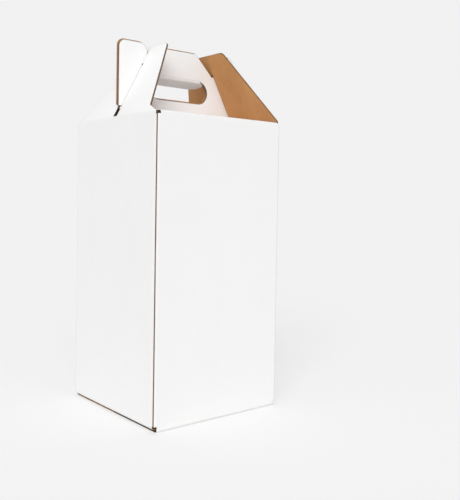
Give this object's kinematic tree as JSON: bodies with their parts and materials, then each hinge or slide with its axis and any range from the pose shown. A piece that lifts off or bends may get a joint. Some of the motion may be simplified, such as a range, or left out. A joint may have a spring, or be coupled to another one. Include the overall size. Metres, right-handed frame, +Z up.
{
  "type": "wine bottle carrier",
  "caption": "Tall square carton of white corrugated board with a gable handle locked by leaning end flaps, and a slotted partition inside for carrying wine bottles upright.",
  "frame": {"origin": "on the floor at the middle of the base", "axes": "+Z up, -Y towards the front wall with the pushed-in hand hole, +X to the right of it"},
  "size_m": [0.19, 0.194, 0.466],
  "materials": {
    "white_lined_board": "matte white liner outside, brown kraft inside and at the cut edges",
    "kraft_board": "matte brown kraft"
  },
  "bodies": {
    "root": {"carton": "white_lined_board", "partition_side_to_side": "kraft_board", "partition_front_to_back": "kraft_board"}
  },
  "joints": []
}
